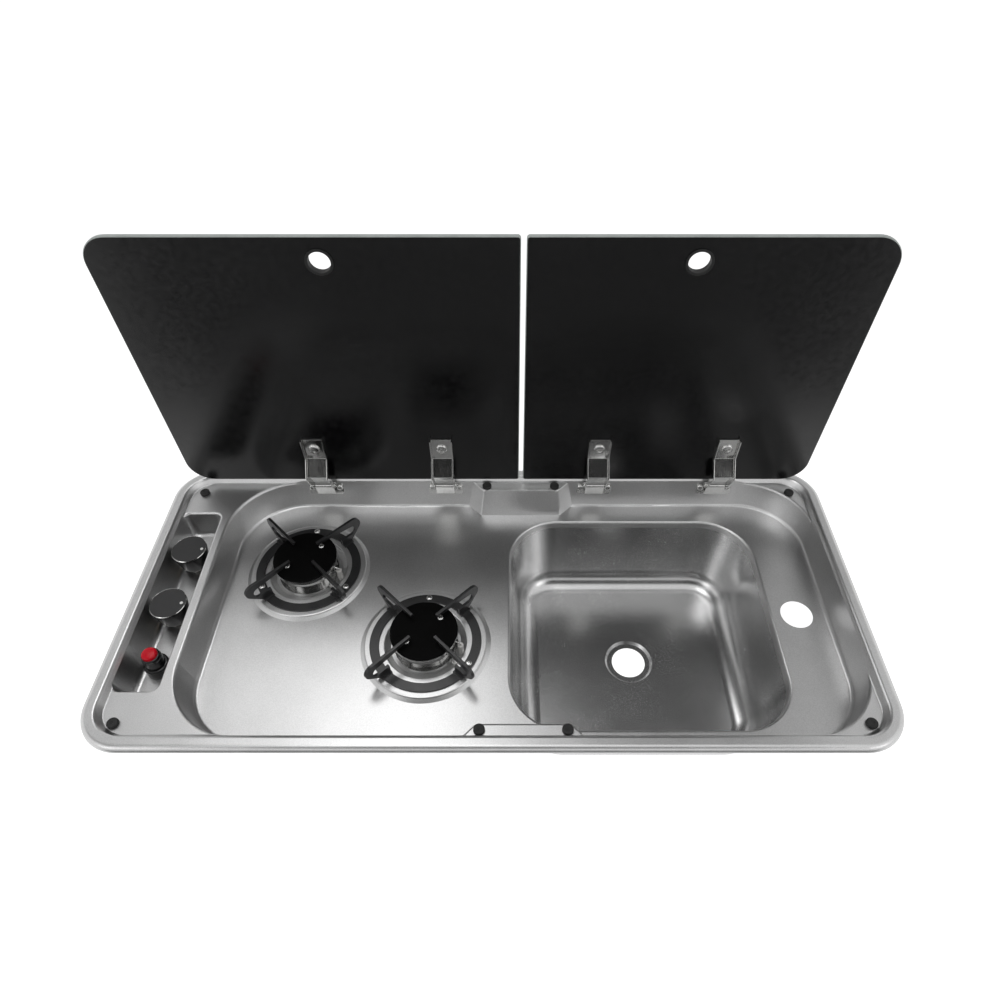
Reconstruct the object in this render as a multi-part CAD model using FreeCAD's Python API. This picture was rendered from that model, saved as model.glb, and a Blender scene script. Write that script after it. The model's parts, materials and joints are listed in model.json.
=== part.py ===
import FreeCAD, Part
import math
import os

V = FreeCAD.Vector

# Sizes are in mm. The origin is the centre of the worktop cut-out, and Z is zero where the rim sits.
UNIT_W = 775.0
UNIT_D = 360.0
SHEET = 0.8
CUT_PAST = 20.0
SAME = 1e-4

# Rim, with a step inside it that falls to the lands under the corner buffers.
RIM_R = 46.0
RIM_TOP = 6.5
RIM_BAND = 13.7
RIM_EDGE_R = 5.6
STEP_SLOPE = 4.0
STEP_FOOT_R = 1.6
LAND_Z = -1.0
LIP = 2.2
LIP_STEPS = 3
SEAL_IN = 3.0
SEAL_W = 8.0
SEAL_SLACK = 3.0

# The well that holds burners and bowl, placed from the outer edges of the rim.
DECK_Z = -35.5
WELL_FROM_LEFT = 72.5
WELL_FROM_RIGHT = 16.6
WELL_FROM_FRONT = 16.6
WELL_FROM_REAR = 17.0
WELL_R = 77.0
WELL_FLOOR_CORNER_R = 70.0
WELL_FLOOR_R = 4.0
WELL_DRAFT_LEFT = 8.3
WELL_DRAFT_RIGHT = 4.2
WELL_DRAFT_FRONT = 5.0
WELL_DRAFT_REAR = 7.0

# Burners: places from the well, then the raised plate, the dip, the head and the pan support.
REAR_BURNER_IN = 97.5
REAR_BURNER_BACK = 109.7
FRONT_BURNER_IN = 241.0
FRONT_BURNER_FORTH = 119.3
PLATE_R = 72.2
PLATE_TOP_R = 66.0
PLATE_H = 3.8
PLATE_LIP = 1.6
DIP_R = 43.0
DIP_FLOOR_R = 37.5
DIP_DROP = 5.0
BURNER_HOLE_R = 30.0
HOLE_PLAY = 1.5
FLANGE_R = 34.0
FLANGE_T = 2.0
CROWN_R = 34.0
CROWN_H = 7.0
CROWN_RIM_IN = 0.6
CROWN_RIM_T = 0.9
NECK_R = 29.5
NECK_H = 2.5
BODY_DEPTH = 24.0
FUNNEL_H = 8.0
FUNNEL_R = 12.0
PORTS = 36
PORT_W = 1.5
PORT_H = 2.6
PORT_DEPTH = 4.0
PORT_IN = 2.5
CAP_R = 35.7
CAP_H = 5.0
CAP_RISE = 27.0
CAP_EDGE_R = 1.8
CAP_SCREW_PITCH_R = 22.0
CAP_SCREW_TURN = 41.0
CAP_SCREW_HEAD_R = 3.0
CAP_SCREW_HEAD_H = 1.8
CAP_SCREW_SHANK = 1.6
CAP_SCREW_GRIP = 7.0
RING_OUT = 59.6
RING_IN = 49.6
RING_T = 1.8
RING_SCREW_HEAD_R = 3.4
RING_SCREW_HEAD_H = 2.2
RING_SCREW_SHANK = 1.8
RING_SCREW_GRIP = 4.0
RING_SCREW_TURNS = (90.0, 210.0, 330.0)
FINGER_RISE = 36.0
FINGER_T = 3.2
FINGER_TIP = 18.0
FINGER_OUT = 76.5
FINGER_BAR = 3.6
FINGER_ROOT = 9.5
FINGER_LIMB = 8.5
FINGER_FOOT_H = 9.0
FINGER_HEEL = 17.0
FINGER_END_R = 9.4
FINGER_TURNS = (45.0, 135.0, 225.0, 315.0)
FINGER_BEND_R = 5.4
TAB_W = 9.0
TAB_OVER = 1.4
TAB_T = 0.9
PROBE_PITCH_R = 40.0
SPARK_TURN = -16.0
SPARK_R = 3.2
SPARK_WIRE_R = 0.8
SPARK_REACH = 5.0
SPARK_BELOW_CAP = 6.5
SPARK_WIRE_IN = 1.0
SPARK_WIRE_BELOW_CAP = 2.3
SPARK_WIRE_RISE = 1.0
SPARK_WIRE_BEND = 1.6
PROBE_TURN = -38.0
PROBE_R = 2.2
PROBE_TIP = 1.3
PROBE_BELOW_CAP = 3.0
PROBE_NUT_GAP = 0.4
PROBE_NUT = 7.0
PROBE_NUT_H = 3.0
PROBE_BELOW = 16.0
INJECTOR_R = 9.0
INJECTOR_H = 10.0
INJECTOR_HEX = 16.0
INJECTOR_HEX_H = 8.0

# Bowl, welded under a turned lip in the deck, and the strip with the tap hole beside it.
BOWL_GAP = 18.1
TAP_STRIP = 66.4
BOWL_FROM_FRONT = 21.4
BOWL_FROM_REAR = 35.0
BOWL_R = 58.0
BOWL_DEPTH = 103.0
BOWL_DRAFT = 13.7
BOWL_FLOOR_R = 24.0
BOWL_LIP_R = 2.8
THROAT = 9.0
DRAIN_SEAT_R = 28.6
DRAIN_SEAT_DRAFT = 3.0
DRAIN_R = 20.0
DRAIN_DROP = 3.0
TAP_HOLE_R = 17.5
TAP_HOLE_FROM_BOWL = 29.5

# Centre bosses on the line where the two lids meet.
SPLIT_FROM_BOWL = 12.7
BOSS_HALF = 45.0
BOSS_REAR_IN = 14.2
BOSS_FRONT_IN = 12.8
BOSS_DRAFT = 9.5
BOSS_R = 5.0

# Trough of the controls, as long as the row of knobs and button needs.
TROUGH_FROM_LEFT = 39.5
TROUGH_HALF = 22.5
TROUGH_Z = -34.0
TROUGH_DRAFT = 4.0
TROUGH_R = 8.0
TROUGH_FLOOR_R = 6.2
KNOB_REAR_Y = 58.0
KNOB_PITCH = 73.5
BUTTON_PITCH = 60.5
TROUGH_REAR_END = 54.0
TROUGH_FRONT_END = 42.0

# Knobs on push-and-turn taps, and the igniter button.
KNOB_R = 19.2
KNOB_FOOT_R = 15.4
KNOB_SKIRT = 5.5
KNOB_HOLLOW = 1.0
KNOB_TOP = -0.5
KNOB_H = 18.5
KNOB_BEVEL = 1.2
KNOB_BAND = 4.0
KNOB_DOT_R = 1.7
KNOB_DOT_IN = 4.6
KNOB_DOT_T = 0.6
PUSH = 4.5
PUSH_SPARE = 1.0
TAP_W = 24.0
TAP_L = 30.0
TAP_H = 24.0
TAP_EDGE_R = 3.0
TAP_WALL = 3.0
BUSH_R = 6.0
BUSH_UP = 7.0
SPINDLE_R = 4.0
SPINDLE_PLAY = 0.1
SPINDLE_IN_KNOB = 11.5
TAP_NUT = 17.0
TAP_NUT_H = 3.5
COLLAR_R = 8.5
COLLAR_T = 2.0
COLLAR_SKIRT = 3.6
COLLAR_PLAY = 0.4
OUTLET_R = 6.0
OUTLET_LEN = 12.0
OUTLET_UP = 11.0
PIPE_R = 3.0
PIPE_BEND = 9.0
PIPE_OUT = 23.0
PIPE_CROSS = 15.0
RAIL_R = 6.0
RAIL_END = 22.0
INLET_FROM_KNOB = 26.0
INLET_R = 4.0
INLET_LEN = 50.0
INLET_HEX = 15.0
INLET_HEX_H = 11.0
INLET_HEX_DOWN = 5.0
BUTTON_R = 7.6
BUTTON_PLAY = 0.1
BUTTON_EDGE_R = 3.0
BUTTON_PUSH = 4.0
BUTTON_STAND = 8.5
BUTTON_WELL = 22.0
IGNITER_R = 9.6
IGNITER_BELOW = 40.0
IGNITER_FLANGE_R = 12.5
IGNITER_FLANGE_T = 4.0
IGNITER_NUT_R = 12.4
IGNITER_NUT_H = 6.0
IGNITER_NUT_EDGE = 1.5

# Lids: the open pane leans a little forward and turns about pins in front of the rear wall.
GLASS_T = 5.0
GLASS_EDGE = 0.9
LID_TILT = 1.2
LID_SHORT = 48.0
LID_FROM_SIDE = {"left": 17.5, "right": 16.0}
LID_GAP = 5.0
LID_R = 28.0
LID_SPLIT_R = 3.0
LID_ABOVE_RIM = 1.45
LID_BEHIND_PIN = 2.0
HOLE_DOWN = 24.6
HOLE_R = 10.4
HOLE_FROM_SPLIT = {"left": 183.0, "right": 157.2}
GROMMET_WALL = 1.4
GROMMET_LIP = 1.3
GROMMET_PROUD = 1.2

# Hinges: cranked channel straps on pins in screwed brackets.
PIN_FROM_WALL = 5.5
PIN_BELOW_RIM = 6.1
PIN_R = 2.0
PIN_PLAY = 0.06
PIN_HEAD_R = 3.0
PIN_HEAD_T = 1.0
STRAP_FROM_SIDE = {"left": 158.6, "right": 103.6}
STRAP_FROM_SPLIT = {"left": 90.0, "right": 88.2}
STRAP_W = 26.0
STRAP_T = 1.6
FLANGE_H = 5.6
FLANGE_WALL = 1.5
BEND_FORWARD = 15.5
BEND_UP = 28.1
FOLD_V = 37.0
STRAP_V = 67.5
SCREW_V = 53.0
FLANGE_START = 1.8
KNUCKLE_R = 3.6
KNUCKLE_GAP = 0.3
LEAF_T = 1.3
EAR_R = 3.9
WEB_FROM_PIN = 6.2
FOOT_HALF = 21.0
FOOT_T = 1.5
FOOT_UP = 5.2
FOOT_DOWN = 9.5
FOOT_BELOW_LAND = 6.2
FOOT_R = 4.0
FOOT_SCREW_X = 16.7
FOOT_SCREW_HEAD_R = 3.0
FOOT_SCREW_HEAD_H = 1.8
FOOT_SCREW_SHANK = 1.7
FOOT_SCREW_LEN = 5.0
LID_SCREW_HEAD_R = 4.4
LID_SCREW_HEAD_H = 2.2
LID_SCREW_SHANK = 2.5
LID_SCREW_IN_NUT = 2.0
CAP_NUT_R = 8.0
CAP_NUT_H = 3.5
CAP_NUT_EDGE = 1.5

# Shape of every screw head: where its side ends and how wide its crown is, as shares of the head.
HEAD_SIDE = 0.45
HEAD_CROWN = 0.72

# Rubber buffers: one in each corner, and a pair on each centre boss.
BUFFER_R = 5.5
BUFFER_EDGE_R = 1.2
BUFFER_SINK = 0.02
BUFFER_FROM_SIDE = 33.0
BUFFER_FROM_REAR = 35.4
BUFFER_FROM_FRONT = 28.5
BUFFER_HALF_PITCH = 41.3
BUFFER_ON_REAR_BOSS = 7.0
BUFFER_ON_FRONT_BOSS = 6.9

# Places that follow from the sizes above.
HALF_W = UNIT_W / 2
HALF_D = UNIT_D / 2
wellLeft = -HALF_W + WELL_FROM_LEFT
wellRight = HALF_W - WELL_FROM_RIGHT
wellFront = -HALF_D + WELL_FROM_FRONT
wellRear = HALF_D - WELL_FROM_REAR
wellDepth = LAND_Z - DECK_Z
burners = {
    "rear": (wellLeft + REAR_BURNER_IN, wellRear - REAR_BURNER_BACK),
    "front": (wellLeft + FRONT_BURNER_IN, wellFront + FRONT_BURNER_FORTH),
}
plateTop = DECK_Z + PLATE_H
dipFloor = plateTop - DIP_DROP
capTop = DECK_Z + CAP_RISE
capLow = capTop - CAP_H
ringTop = plateTop + RING_T
fingerTop = DECK_Z + FINGER_RISE
bodyLow = DECK_Z - BODY_DEPTH
funnelLow = bodyLow - FUNNEL_H
injectorLow = funnelLow - INJECTOR_H
bowlLeft = burners["front"][0] + PLATE_R + BOWL_GAP
bowlRight = wellRight - TAP_STRIP
bowlFront = wellFront + BOWL_FROM_FRONT
bowlRear = wellRear - BOWL_FROM_REAR
bowlX = (bowlLeft + bowlRight) / 2
bowlY = (bowlFront + bowlRear) / 2
bowlFloor = DECK_Z - BOWL_DEPTH
tapHoleX = bowlRight + TAP_HOLE_FROM_BOWL
splitX = bowlLeft + SPLIT_FROM_BOWL
bossRear = wellRear - BOSS_REAR_IN
bossFront = wellFront + BOSS_FRONT_IN
troughX = -HALF_W + TROUGH_FROM_LEFT
knobs = {"rear": KNOB_REAR_Y, "front": KNOB_REAR_Y - KNOB_PITCH}
buttonY = knobs["front"] - BUTTON_PITCH
troughRear = knobs["rear"] + TROUGH_REAR_END
troughFront = buttonY - TROUGH_FRONT_END
floorLow = TROUGH_Z - SHEET
tapLow = floorLow - TAP_H
lidLen = UNIT_D - LID_SHORT
pinY = wellRear - PIN_FROM_WALL
pinZ = RIM_TOP - PIN_BELOW_RIM
lidFootY = pinY + LID_BEHIND_PIN
lidFootZ = RIM_TOP + LID_ABOVE_RIM
lids = {
    "left": (-HALF_W + LID_FROM_SIDE["left"], splitX - LID_GAP / 2),
    "right": (splitX + LID_GAP / 2, HALF_W - LID_FROM_SIDE["right"]),
}
holes = {
    "left": lids["left"][1] - HOLE_FROM_SPLIT["left"],
    "right": lids["right"][0] + HOLE_FROM_SPLIT["right"],
}
straps = {
    "1": ("left", lids["left"][0] + STRAP_FROM_SIDE["left"]),
    "2": ("left", lids["left"][1] - STRAP_FROM_SPLIT["left"]),
    "3": ("right", lids["right"][0] + STRAP_FROM_SPLIT["right"]),
    "4": ("right", lids["right"][1] - STRAP_FROM_SIDE["right"]),
}

# The closed pane lies on the buffers, so their height follows from the pin and the foot of the open pane.
closing = math.radians(90.0 - LID_TILT)
closedZ = pinZ + LID_BEHIND_PIN * math.sin(closing) + (lidFootZ - pinZ) * math.cos(closing)


def cyl(x, y, z0, z1, r):
    return Part.makeCylinder(r, z1 - z0, V(x, y, z0))


def cone(x, y, z0, z1, r0, r1):
    return Part.makeCone(r0, r1, z1 - z0, V(x, y, z0))


def box(x0, x1, y0, y1, z0, z1):
    return Part.makeBox(x1 - x0, y1 - y0, z1 - z0, V(x0, y0, z0))


def xcyl(x0, x1, y, z, r):
    return Part.makeCylinder(r, x1 - x0, V(x0, y, z), V(1, 0, 0))


def ycyl(x, y0, y1, z, r):
    return Part.makeCylinder(r, y1 - y0, V(x, y0, z), V(0, 1, 0))


def polar(x, y, r, turn):
    return x + r * math.cos(math.radians(turn)), y + r * math.sin(math.radians(turn))


def hexagon(x, y, z0, z1, flats):
    corners = [polar(x, y, flats / math.sqrt(3), 60 * i + 30) for i in range(7)]
    return Part.Face(Part.makePolygon([V(px, py, z0) for px, py in corners])).extrude(V(0, 0, z1 - z0))


# Start, middle and end of the arc that rounds a corner between its two neighbours.
def bendAt(before, corner, after, r):
    back = (before - corner).normalize()
    ahead = (after - corner).normalize()
    half = back.getAngle(ahead) / 2
    reach = r / math.tan(half)
    middle = (back + ahead).normalize() * (r / math.sin(half) - r)
    return corner + back * reach, corner + middle, corner + ahead * reach


# A closed outline of straight runs with every corner rounded by the same radius.
def outline(points, r, z):
    corners = [V(x, y, z) for x, y in points]
    count = len(corners)
    bends = [bendAt(corners[i - 1], corners[i], corners[(i + 1) % count], r) for i in range(count)]
    edges = []
    for i in range(count):
        edges.append(Part.Arc(*bends[i]).toShape())
        edges.append(Part.LineSegment(bends[i][2], bends[(i + 1) % count][0]).toShape())
    return Part.Wire(edges)


def ring(rect, r, grow, z):
    x0, x1, y0, y1 = rect
    x0, x1, y0, y1 = x0 - grow, x1 + grow, y0 - grow, y1 + grow
    return outline([(x0, y0), (x1, y0), (x1, y1), (x0, y1)], r + grow, z)


def prism(rect, r, grow, z0, z1):
    return Part.Face(ring(rect, r, grow, z0)).extrude(V(0, 0, z1 - z0))


def loft(low, high):
    return Part.makeLoft([low, high], True, True)


def plate(points, thickness, direction):
    return Part.Face(Part.makePolygon(points + points[:1])).extrude(direction * thickness)


# Edges that lie flat at height z.
def edgesAt(shape, z):
    boxes = [(e, e.BoundBox) for e in shape.Edges]
    return [e for e, b in boxes if abs(b.ZMin - z) < SAME and b.ZLength < SAME]


# Edges that run along Y at the given X.
def crossEdges(shape, x):
    boxes = [(e, e.BoundBox) for e in shape.Edges]
    return [e for e, b in boxes if abs(b.XMin - x) < SAME and b.XLength < SAME and b.ZLength < SAME]


# Steps of a lip from the wall to the flat above it: how far out and how far below the flat.
def lipSteps(lip):
    turns = [math.pi / 2 * i / LIP_STEPS for i in range(LIP_STEPS + 1)]
    return [(lip * (1 - math.cos(a)), lip * (1 - math.sin(a))) for a in turns]


# A punch that turns the mouth of a drafted wall out into the flat at height z.
def flare(rectAt, cornerAt, grow, z, lip):
    rings = [ring(rectAt(z - down), cornerAt(z - down), grow + out, z - down) for out, down in lipSteps(lip)]
    return Part.makeLoft(rings, True, True)


# A turned solid from a profile of radius and height.
def turned(x, y, profile):
    points = [V(r, 0, z) for r, z in profile]
    solid = Part.Face(Part.makePolygon(points + points[:1])).revolve(V(0, 0, 0), V(0, 0, 1), 360)
    solid.translate(V(x, y, 0))
    return solid


def export(shape, node):
    shape.exportStep("parts/" + node + ".step")


os.makedirs("parts", exist_ok=True)

# Worktop pressing: the sheet is the space between the forms grown by its thickness and the forms themselves.
rimRect = (-HALF_W, HALF_W, -HALF_D, HALF_D)
stepRect = (-HALF_W + RIM_BAND, HALF_W - RIM_BAND, -HALF_D + RIM_BAND, HALF_D - RIM_BAND)
stepR = RIM_R - RIM_BAND


def stepRectAt(z):
    t = STEP_SLOPE * (RIM_TOP - z) / (RIM_TOP - LAND_Z)
    return (stepRect[0] + t, stepRect[1] - t, stepRect[2] + t, stepRect[3] - t)


def stepCornerAt(z):
    return stepR - STEP_SLOPE * (RIM_TOP - z) / (RIM_TOP - LAND_Z)


def recess(grow):
    form = loft(ring(stepRectAt(LAND_Z), stepCornerAt(LAND_Z), grow, LAND_Z - grow),
                ring(stepRect, stepR, grow, RIM_TOP - grow))
    form = form.makeFillet(STEP_FOOT_R + grow, edgesAt(form, LAND_Z - grow))
    return form.fuse(flare(stepRectAt, stepCornerAt, grow, RIM_TOP - grow, LIP - grow))


# A lip is kept only over the lands, so that a wall without a land runs straight up into the step.
def overLand(form, rectAt, cornerAt, grow):
    land = prism(stepRectAt(LAND_Z), stepCornerAt(LAND_Z), grow, DECK_Z - CUT_PAST, LAND_Z - grow)
    return form.fuse(flare(rectAt, cornerAt, grow, LAND_Z - grow, LIP - grow).common(land))


def wellRect(z):
    t = (LAND_Z - z) / wellDepth
    return (wellLeft + t * WELL_DRAFT_LEFT, wellRight - t * WELL_DRAFT_RIGHT,
            wellFront + t * WELL_DRAFT_FRONT, wellRear - t * WELL_DRAFT_REAR)


def wellCorner(z):
    return WELL_R - (WELL_R - WELL_FLOOR_CORNER_R) * (LAND_Z - z) / wellDepth


def well(grow):
    form = loft(ring(wellRect(DECK_Z), wellCorner(DECK_Z), grow, DECK_Z - grow),
                ring(wellRect(RIM_TOP), wellCorner(RIM_TOP), grow, RIM_TOP - grow))
    form = form.makeFillet(WELL_FLOOR_R + grow, edgesAt(form, DECK_Z - grow))
    form = overLand(form, wellRect, wellCorner, grow)
    form = form.cut(boss(grow, bossRear, 1)).cut(boss(grow, -bossFront, -1))
    for bx, by in burners.values():
        form = form.cut(burnerPlate(bx, by, grow))
    return form


# A boss is a wedge with wings at 45 degrees, drawn for the rear and turned over for the front.
def boss(grow, face, sign):
    back = HALF_D + CUT_PAST
    wing = math.tan(math.radians(22.5))
    top = LAND_Z - grow
    low = DECK_Z - CUT_PAST
    lean = BOSS_DRAFT * (top - low) / wellDepth

    def wedge(out, z):
        y = face - out
        half = BOSS_HALF + wing * out
        far = half + back - y
        points = [(splitX - far, back), (splitX - half, y), (splitX + half, y), (splitX + far, back)]
        return outline([(px, sign * py) for px, py in points], BOSS_R, z)

    rings = [wedge(lean - grow, low)]
    rings += [wedge(-grow - out, top - down) for out, down in lipSteps(LIP - grow)]
    return Part.makeLoft(rings, True, True)


# The raised plate around a burner, cut away from the well, and the dip in its middle.
def burnerPlate(x, y, grow):
    top = plateTop - grow
    low = DECK_Z - CUT_PAST
    slope = (PLATE_R - PLATE_TOP_R) / PLATE_H
    r = PLATE_TOP_R - grow
    lip = [(r - out, top - down) for out, down in lipSteps(PLATE_LIP - grow)]
    return turned(x, y, [(0, low), (r + slope * (top - low), low)] + lip + [(0, top)])


def burnerDip(x, y, grow):
    top = plateTop - grow
    r = DIP_R + grow
    lip = [(r + out, top - down) for out, down in lipSteps(PLATE_LIP - grow)]
    return turned(x, y, [(0, dipFloor - grow), (DIP_FLOOR_R + grow, dipFloor - grow)] + lip + [(0, top)])


def trough(grow):
    slope = TROUGH_DRAFT / (LAND_Z - TROUGH_Z)

    def rectAt(z):
        t = slope * (LAND_Z - z)
        return (troughX - TROUGH_HALF + t, troughX + TROUGH_HALF - t, troughFront + t, troughRear - t)

    form = loft(ring(rectAt(TROUGH_Z), TROUGH_R, grow, TROUGH_Z - grow),
                ring(rectAt(RIM_TOP), TROUGH_R, grow, RIM_TOP - grow))
    form = form.makeFillet(TROUGH_FLOOR_R + grow, edgesAt(form, TROUGH_Z - grow))
    return overLand(form, rectAt, lambda z: TROUGH_R, grow)


bowlRect = (bowlLeft, bowlRight, bowlFront, bowlRear)
bowlSlope = BOWL_DRAFT / BOWL_DEPTH


def throat(grow):
    form = loft(ring(bowlRect, BOWL_R, grow - bowlSlope * THROAT, DECK_Z - THROAT),
                ring(bowlRect, BOWL_R, grow - bowlSlope * grow, DECK_Z - grow))
    margin = 2 * BOWL_LIP_R
    whole = form.fuse(prism(bowlRect, BOWL_R, margin, DECK_Z - grow, DECK_Z + margin))
    mouth = [e for e in edgesAt(whole, DECK_Z - grow) if bowlLeft - BOWL_LIP_R < e.BoundBox.XMin
             and e.BoundBox.XMax < bowlRight + BOWL_LIP_R]
    return whole.makeFillet(BOWL_LIP_R - grow, mouth)


def hollow(grow):
    parts = [well(grow), trough(grow), throat(grow)]
    parts += [burnerDip(x, y, grow) for x, y in burners.values()]
    return recess(grow).fuse(parts)


rim = prism(rimRect, RIM_R, 0, 0, RIM_TOP)
rim = rim.makeFillet(RIM_EDGE_R, edgesAt(rim, RIM_TOP))
under = prism(rimRect, RIM_R, -SHEET, -SHEET, RIM_TOP - SHEET)
under = under.makeFillet(RIM_EDGE_R - SHEET, edgesAt(under, RIM_TOP - SHEET))
belowRim = box(-UNIT_W, UNIT_W, -UNIT_D, UNIT_D, bowlFloor - CUT_PAST, RIM_TOP - SHEET)
pressing = rim.cut(under).fuse(hollow(SHEET).common(belowRim)).cut(hollow(0)).removeSplitter()
holesInSheet = [cyl(tapHoleX, bowlY, DECK_Z - CUT_PAST, DECK_Z + CUT_PAST, TAP_HOLE_R)]


# Bowl, one sheet thick, joined to the lower edge of the turned lip, with a pressed seat at the drain hole.
def bowlForm(grow):
    low = bowlFloor - grow
    form = loft(ring(bowlRect, BOWL_R, grow - BOWL_DRAFT, low),
                ring(bowlRect, BOWL_R, grow - bowlSlope * THROAT, DECK_Z - THROAT))
    form = form.makeFillet(BOWL_FLOOR_R + grow, edgesAt(form, low))
    seatR = DRAIN_SEAT_R + grow
    seat = cone(bowlX, bowlY, low - DRAIN_DROP, low, seatR - DRAIN_SEAT_DRAFT, seatR)
    return form.fuse(seat)


drain = cyl(bowlX, bowlY, bowlFloor - CUT_PAST, bowlFloor, DRAIN_R)
export(bowlForm(SHEET).cut(bowlForm(0)).cut(drain), "sink_bowl")

# Seal under the rim: a flat strip with a taller bead that fills the roll of the rim.
sealTop = RIM_TOP - SHEET
strip = prism(rimRect, RIM_R, -SEAL_IN, 0, sealTop - SEAL_SLACK)
bead = prism(rimRect, RIM_R, -SEAL_IN - SEAL_W / 2, 0, sealTop)
export(strip.fuse(bead).cut(prism(rimRect, RIM_R, -SEAL_IN - SEAL_W, -SHEET, RIM_TOP)), "rim_seal")

cornerX = HALF_W - BUFFER_FROM_SIDE
bufferPlaces = [(x, HALF_D - BUFFER_FROM_REAR) for x in (-cornerX, cornerX)]
bufferPlaces += [(x, -HALF_D + BUFFER_FROM_FRONT) for x in (-cornerX, cornerX)]
bufferPlaces += [(splitX + q * BUFFER_HALF_PITCH, bossRear + BUFFER_ON_REAR_BOSS) for q in (-1, 1)]
bufferPlaces += [(splitX + q * BUFFER_HALF_PITCH, bossFront - BUFFER_ON_FRONT_BOSS) for q in (-1, 1)]
pads = []
for x, y in bufferPlaces:
    pad = cyl(x, y, LAND_Z, closedZ - BUFFER_SINK, BUFFER_R)
    pads.append(pad.makeFillet(BUFFER_EDGE_R, edgesAt(pad, closedZ - BUFFER_SINK)))
export(Part.makeCompound(pads), "lid_buffers")


# A pan-head screw that stands on height z, drawn as head and plain shank.
def screw(x, y, z, headR, headH, shankR, depth):
    profile = [(0, z - depth), (shankR, z - depth), (shankR, z), (headR, z), (headR, z + headH * HEAD_SIDE),
               (headR * HEAD_CROWN, z + headH), (0, z + headH)]
    return turned(x, y, profile)


# One finger of a pan support: a hairpin of plate with a foot on the ring and a bar over the burner.
def finger(x, y, turn):
    top = fingerTop - ringTop
    foot = RING_IN - TAB_OVER
    heel = RING_OUT + TAB_OVER
    bend = FINGER_OUT - FINGER_LIMB
    points = [(FINGER_TIP, top - FINGER_BAR), (FINGER_TIP, top), (FINGER_OUT, top), (FINGER_OUT, FINGER_HEEL),
              (heel, 0), (foot, 0), (foot, FINGER_FOOT_H), (bend, FINGER_FOOT_H), (bend, top - FINGER_ROOT)]
    body = plate([V(r, -FINGER_T / 2, z) for r, z in points], FINGER_T, V(0, 1, 0))
    body = body.makeFillet(FINGER_END_R, crossEdges(body, FINGER_OUT))
    body = body.makeFillet(FINGER_BEND_R, crossEdges(body, bend))
    tab = box(RING_IN - TAB_OVER, RING_OUT + TAB_OVER, -TAB_W / 2, TAB_W / 2, -RING_T, TAB_T)
    body = body.fuse(tab)
    body.rotate(V(0, 0, 0), V(0, 0, 1), turn)
    body.translate(V(x, y, ringTop))
    return body


# A pipe of straight runs joined by bends.
def pipe(points, r, bend):
    corners = [V(*p) for p in points]
    edges = []
    start = corners[0]
    for before, corner, after in zip(corners, corners[1:], corners[2:]):
        arc = bendAt(before, corner, after, bend)
        edges.append(Part.LineSegment(start, arc[0]).toShape())
        edges.append(Part.Arc(*arc).toShape())
        start = arc[2]
    edges.append(Part.LineSegment(start, corners[-1]).toShape())
    section = Part.Wire(Part.Circle(corners[0], corners[1] - corners[0], r).toShape())
    return Part.Wire(edges).makePipeShell([section], True, False)


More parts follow.
